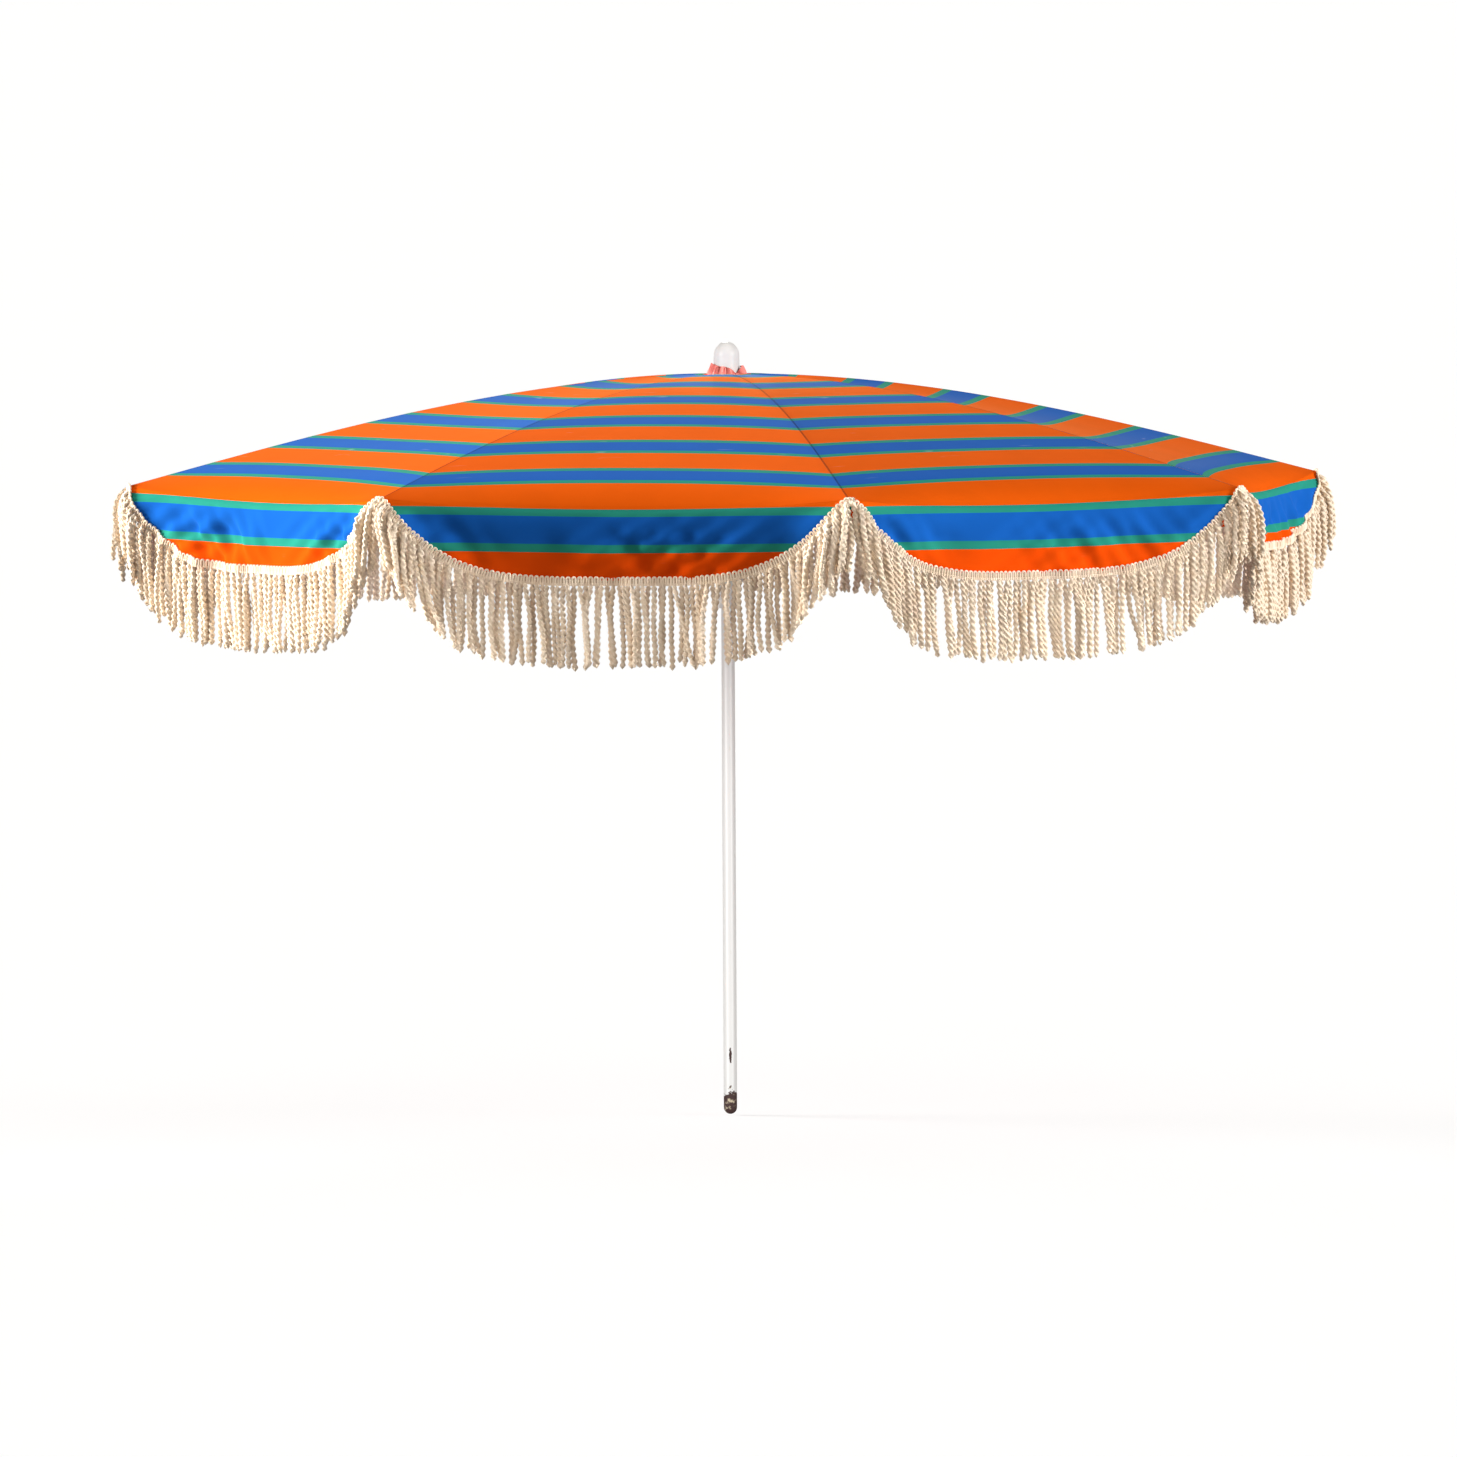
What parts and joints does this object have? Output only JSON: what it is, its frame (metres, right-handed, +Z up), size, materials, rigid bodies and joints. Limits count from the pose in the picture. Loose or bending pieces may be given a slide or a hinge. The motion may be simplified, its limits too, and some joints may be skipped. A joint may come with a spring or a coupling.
{
  "type": "beach umbrella",
  "caption": "Upper half of a folding beach umbrella: ribbed striped canopy, scalloped hem with twisted cord fringe, finial, runner with spring catch, on a tubular pole.",
  "frame": {"origin": "lower end of the pole, on the pole's axis", "axes": "+Z up along the pole towards the finial; +X and +Y each along a rib"},
  "size_m": [2.0042, 2.0042, 1.281],
  "materials": {
    "white_steel": "gloss white paint over steel, worn at the lower end",
    "steel": "zinc-plated, dull",
    "wire": "drawn wire",
    "white_plastic": "satin moulded plastic",
    "canopy_cloth": "woven, orange with blue and green stripes",
    "fringe_cotton": "twisted cotton cord, cream",
    "gather_cloth": "thin gathered cloth, faded red"
  },
  "bodies": {
    "root": {"pole_tube": "white_steel", "crown_hub": "white_plastic", "crown_wire": "wire", "crown_pin": "steel", "finial_cap": "white_plastic", "gather_collar": "gather_cloth", "catch_spring": "steel", "catch_pin": "steel"},
    "runner": {"runner": "white_plastic", "runner_wire": "wire"},
    "catch": {"catch_blade": "steel"},
    "rib_1": {"rib_1": "white_steel", "rib_rivet_1": "steel"},
    "stretcher_1": {"stretcher_1": "white_steel"},
    "panel_1": {"gore_1": "canopy_cloth"},
    "skirt_1": {"valance_1": "canopy_cloth", "fringe_1": "fringe_cotton"},
    "rib_2": {"rib_2": "white_steel", "rib_rivet_2": "steel"},
    "stretcher_2": {"stretcher_2": "white_steel"},
    "panel_2": {"gore_2": "canopy_cloth"},
    "skirt_2": {"valance_2": "canopy_cloth", "fringe_2": "fringe_cotton"},
    "rib_3": {"rib_3": "white_steel", "rib_rivet_3": "steel"},
    "stretcher_3": {"stretcher_3": "white_steel"},
    "panel_3": {"gore_3": "canopy_cloth"},
    "skirt_3": {"valance_3": "canopy_cloth", "fringe_3": "fringe_cotton"},
    "rib_4": {"rib_4": "white_steel", "rib_rivet_4": "steel"},
    "stretcher_4": {"stretcher_4": "white_steel"},
    "panel_4": {"gore_4": "canopy_cloth"},
    "skirt_4": {"valance_4": "canopy_cloth", "fringe_4": "fringe_cotton"},
    "rib_5": {"rib_5": "white_steel", "rib_rivet_5": "steel"},
    "stretcher_5": {"stretcher_5": "white_steel"},
    "panel_5": {"gore_5": "canopy_cloth"},
    "skirt_5": {"valance_5": "canopy_cloth", "fringe_5": "fringe_cotton"},
    "rib_6": {"rib_6": "white_steel", "rib_rivet_6": "steel"},
    "stretcher_6": {"stretcher_6": "white_steel"},
    "panel_6": {"gore_6": "canopy_cloth"},
    "skirt_6": {"valance_6": "canopy_cloth", "fringe_6": "fringe_cotton"},
    "rib_7": {"rib_7": "white_steel", "rib_rivet_7": "steel"},
    "stretcher_7": {"stretcher_7": "white_steel"},
    "panel_7": {"gore_7": "canopy_cloth"},
    "skirt_7": {"valance_7": "canopy_cloth", "fringe_7": "fringe_cotton"},
    "rib_8": {"rib_8": "white_steel", "rib_rivet_8": "steel"},
    "stretcher_8": {"stretcher_8": "white_steel"},
    "panel_8": {"gore_8": "canopy_cloth"},
    "skirt_8": {"valance_8": "canopy_cloth", "fringe_8": "fringe_cotton"}
  },
  "joints": [
    {"name": "runner_slide", "type": "slide", "parent": "root", "child": "runner", "axis": [0, 0, -1], "range_m": [0, 0.565], "deforming": ["gore_1", "gore_2", "gore_3", "gore_4", "gore_5", "gore_6", "gore_7", "gore_8", "valance_1", "valance_2", "valance_3", "valance_4", "valance_5", "valance_6", "valance_7", "valance_8", "fringe_1", "fringe_2", "fringe_3", "fringe_4", "fringe_5", "fringe_6", "fringe_7", "fringe_8", "catch_blade"]},
    {"name": "catch_press", "type": "slide", "parent": "root", "child": "catch", "axis": [0.3827, 0.9239, 0], "range_m": [0, 0.0045], "deforming": ["catch_spring"]},
    {"name": "rib_fold_1", "type": "hinge", "parent": "root", "child": "rib_1", "pos_m": [0.017, 0, 1.22332], "axis": [0, 1, 0], "range_deg": [0, 79.22]},
    {"name": "stretcher_pivot_1", "type": "hinge", "parent": "rib_1", "child": "stretcher_1", "pos_m": [0.42, 0, 1.18412], "axis": [0, 1, 0], "range_deg": [-129.13, 0]},
    {"name": "panel_fold_1", "type": "hinge", "parent": "root", "child": "panel_1", "pos_m": [0.01451, 0.00601, 1.22332], "axis": [-0.3827, 0.9239, 0], "range_deg": [0, 77.62]},
    {"name": "skirt_hang_1", "type": "hinge", "parent": "panel_1", "child": "skirt_1", "pos_m": [0.84535, 0.35015, 1.048], "axis": [-0.3827, 0.9239, 0], "range_deg": [-77.62, 0]},
    {"name": "rib_fold_2", "type": "hinge", "parent": "root", "child": "rib_2", "pos_m": [0.01202, 0.01202, 1.22332], "axis": [-0.7071, 0.7071, 0], "range_deg": [0, 79.22]},
    {"name": "stretcher_pivot_2", "type": "hinge", "parent": "rib_2", "child": "stretcher_2", "pos_m": [0.29698, 0.29698, 1.18412], "axis": [-0.7071, 0.7071, 0], "range_deg": [-129.13, 0]},
    {"name": "panel_fold_2", "type": "hinge", "parent": "root", "child": "panel_2", "pos_m": [0.00601, 0.01451, 1.22332], "axis": [-0.9239, 0.3827, 0], "range_deg": [0, 77.62]},
    {"name": "skirt_hang_2", "type": "hinge", "parent": "panel_2", "child": "skirt_2", "pos_m": [0.35015, 0.84535, 1.048], "axis": [-0.9239, 0.3827, 0], "range_deg": [-77.62, 0]},
    {"name": "rib_fold_3", "type": "hinge", "parent": "root", "child": "rib_3", "pos_m": [0, 0.017, 1.22332], "axis": [-1, 0, 0], "range_deg": [0, 79.22]},
    {"name": "stretcher_pivot_3", "type": "hinge", "parent": "rib_3", "child": "stretcher_3", "pos_m": [0, 0.42, 1.18412], "axis": [-1, 0, 0], "range_deg": [-129.13, 0]},
    {"name": "panel_fold_3", "type": "hinge", "parent": "root", "child": "panel_3", "pos_m": [-0.00601, 0.01451, 1.22332], "axis": [-0.9239, -0.3827, 0], "range_deg": [0, 77.62]},
    {"name": "skirt_hang_3", "type": "hinge", "parent": "panel_3", "child": "skirt_3", "pos_m": [-0.35015, 0.84535, 1.048], "axis": [-0.9239, -0.3827, 0], "range_deg": [-77.62, 0]},
    {"name": "rib_fold_4", "type": "hinge", "parent": "root", "child": "rib_4", "pos_m": [-0.01202, 0.01202, 1.22332], "axis": [-0.7071, -0.7071, 0], "range_deg": [0, 79.22]},
    {"name": "stretcher_pivot_4", "type": "hinge", "parent": "rib_4", "child": "stretcher_4", "pos_m": [-0.29698, 0.29698, 1.18412], "axis": [-0.7071, -0.7071, 0], "range_deg": [-129.13, 0]},
    {"name": "panel_fold_4", "type": "hinge", "parent": "root", "child": "panel_4", "pos_m": [-0.01451, 0.00601, 1.22332], "axis": [-0.3827, -0.9239, 0], "range_deg": [0, 77.62]},
    {"name": "skirt_hang_4", "type": "hinge", "parent": "panel_4", "child": "skirt_4", "pos_m": [-0.84535, 0.35015, 1.048], "axis": [-0.3827, -0.9239, 0], "range_deg": [-77.62, 0]},
    {"name": "rib_fold_5", "type": "hinge", "parent": "root", "child": "rib_5", "pos_m": [-0.017, 0, 1.22332], "axis": [0, -1, 0], "range_deg": [0, 79.22]},
    {"name": "stretcher_pivot_5", "type": "hinge", "parent": "rib_5", "child": "stretcher_5", "pos_m": [-0.42, 0, 1.18412], "axis": [0, -1, 0], "range_deg": [-129.13, 0]},
    {"name": "panel_fold_5", "type": "hinge", "parent": "root", "child": "panel_5", "pos_m": [-0.01451, -0.00601, 1.22332], "axis": [0.3827, -0.9239, 0], "range_deg": [0, 77.62]},
    {"name": "skirt_hang_5", "type": "hinge", "parent": "panel_5", "child": "skirt_5", "pos_m": [-0.84535, -0.35015, 1.048], "axis": [0.3827, -0.9239, 0], "range_deg": [-77.62, 0]},
    {"name": "rib_fold_6", "type": "hinge", "parent": "root", "child": "rib_6", "pos_m": [-0.01202, -0.01202, 1.22332], "axis": [0.7071, -0.7071, 0], "range_deg": [0, 79.22]},
    {"name": "stretcher_pivot_6", "type": "hinge", "parent": "rib_6", "child": "stretcher_6", "pos_m": [-0.29698, -0.29698, 1.18412], "axis": [0.7071, -0.7071, 0], "range_deg": [-129.13, 0]},
    {"name": "panel_fold_6", "type": "hinge", "parent": "root", "child": "panel_6", "pos_m": [-0.00601, -0.01451, 1.22332], "axis": [0.9239, -0.3827, 0], "range_deg": [0, 77.62]},
    {"name": "skirt_hang_6", "type": "hinge", "parent": "panel_6", "child": "skirt_6", "pos_m": [-0.35015, -0.84535, 1.048], "axis": [0.9239, -0.3827, 0], "range_deg": [-77.62, 0]},
    {"name": "rib_fold_7", "type": "hinge", "parent": "root", "child": "rib_7", "pos_m": [0, -0.017, 1.22332], "axis": [1, 0, 0], "range_deg": [0, 79.22]},
    {"name": "stretcher_pivot_7", "type": "hinge", "parent": "rib_7", "child": "stretcher_7", "pos_m": [0, -0.42, 1.18412], "axis": [1, 0, 0], "range_deg": [-129.13, 0]},
    {"name": "panel_fold_7", "type": "hinge", "parent": "root", "child": "panel_7", "pos_m": [0.00601, -0.01451, 1.22332], "axis": [0.9239, 0.3827, 0], "range_deg": [0, 77.62]},
    {"name": "skirt_hang_7", "type": "hinge", "parent": "panel_7", "child": "skirt_7", "pos_m": [0.35015, -0.84535, 1.048], "axis": [0.9239, 0.3827, 0], "range_deg": [-77.62, 0]},
    {"name": "rib_fold_8", "type": "hinge", "parent": "root", "child": "rib_8", "pos_m": [0.01202, -0.01202, 1.22332], "axis": [0.7071, 0.7071, 0], "range_deg": [0, 79.22]},
    {"name": "stretcher_pivot_8", "type": "hinge", "parent": "rib_8", "child": "stretcher_8", "pos_m": [0.29698, -0.29698, 1.18412], "axis": [0.7071, 0.7071, 0], "range_deg": [-129.13, 0]},
    {"name": "panel_fold_8", "type": "hinge", "parent": "root", "child": "panel_8", "pos_m": [0.01451, -0.00601, 1.22332], "axis": [0.3827, 0.9239, 0], "range_deg": [0, 77.62]},
    {"name": "skirt_hang_8", "type": "hinge", "parent": "panel_8", "child": "skirt_8", "pos_m": [0.84535, -0.35015, 1.048], "axis": [0.3827, 0.9239, 0], "range_deg": [-77.62, 0]}
  ],
  "couplings": [
    {"joint": "rib_fold_1", "follows": "runner_slide", "rad_per_m": 2.4469},
    {"joint": "stretcher_pivot_1", "follows": "runner_slide", "rad_per_m": -3.9887},
    {"joint": "panel_fold_1", "follows": "runner_slide", "rad_per_m": 2.3974},
    {"joint": "skirt_hang_1", "follows": "runner_slide", "rad_per_m": -2.3974},
    {"joint": "rib_fold_2", "follows": "runner_slide", "rad_per_m": 2.4469},
    {"joint": "stretcher_pivot_2", "follows": "runner_slide", "rad_per_m": -3.9887},
    {"joint": "panel_fold_2", "follows": "runner_slide", "rad_per_m": 2.3974},
    {"joint": "skirt_hang_2", "follows": "runner_slide", "rad_per_m": -2.3974},
    {"joint": "rib_fold_3", "follows": "runner_slide", "rad_per_m": 2.4469},
    {"joint": "stretcher_pivot_3", "follows": "runner_slide", "rad_per_m": -3.9887},
    {"joint": "panel_fold_3", "follows": "runner_slide", "rad_per_m": 2.3974},
    {"joint": "skirt_hang_3", "follows": "runner_slide", "rad_per_m": -2.3974},
    {"joint": "rib_fold_4", "follows": "runner_slide", "rad_per_m": 2.4469},
    {"joint": "stretcher_pivot_4", "follows": "runner_slide", "rad_per_m": -3.9887},
    {"joint": "panel_fold_4", "follows": "runner_slide", "rad_per_m": 2.3974},
    {"joint": "skirt_hang_4", "follows": "runner_slide", "rad_per_m": -2.3974},
    {"joint": "rib_fold_5", "follows": "runner_slide", "rad_per_m": 2.4469},
    {"joint": "stretcher_pivot_5", "follows": "runner_slide", "rad_per_m": -3.9887},
    {"joint": "panel_fold_5", "follows": "runner_slide", "rad_per_m": 2.3974},
    {"joint": "skirt_hang_5", "follows": "runner_slide", "rad_per_m": -2.3974},
    {"joint": "rib_fold_6", "follows": "runner_slide", "rad_per_m": 2.4469},
    {"joint": "stretcher_pivot_6", "follows": "runner_slide", "rad_per_m": -3.9887},
    {"joint": "panel_fold_6", "follows": "runner_slide", "rad_per_m": 2.3974},
    {"joint": "skirt_hang_6", "follows": "runner_slide", "rad_per_m": -2.3974},
    {"joint": "rib_fold_7", "follows": "runner_slide", "rad_per_m": 2.4469},
    {"joint": "stretcher_pivot_7", "follows": "runner_slide", "rad_per_m": -3.9887},
    {"joint": "panel_fold_7", "follows": "runner_slide", "rad_per_m": 2.3974},
    {"joint": "skirt_hang_7", "follows": "runner_slide", "rad_per_m": -2.3974},
    {"joint": "rib_fold_8", "follows": "runner_slide", "rad_per_m": 2.4469},
    {"joint": "stretcher_pivot_8", "follows": "runner_slide", "rad_per_m": -3.9887},
    {"joint": "panel_fold_8", "follows": "runner_slide", "rad_per_m": 2.3974},
    {"joint": "skirt_hang_8", "follows": "runner_slide", "rad_per_m": -2.3974}
  ]
}
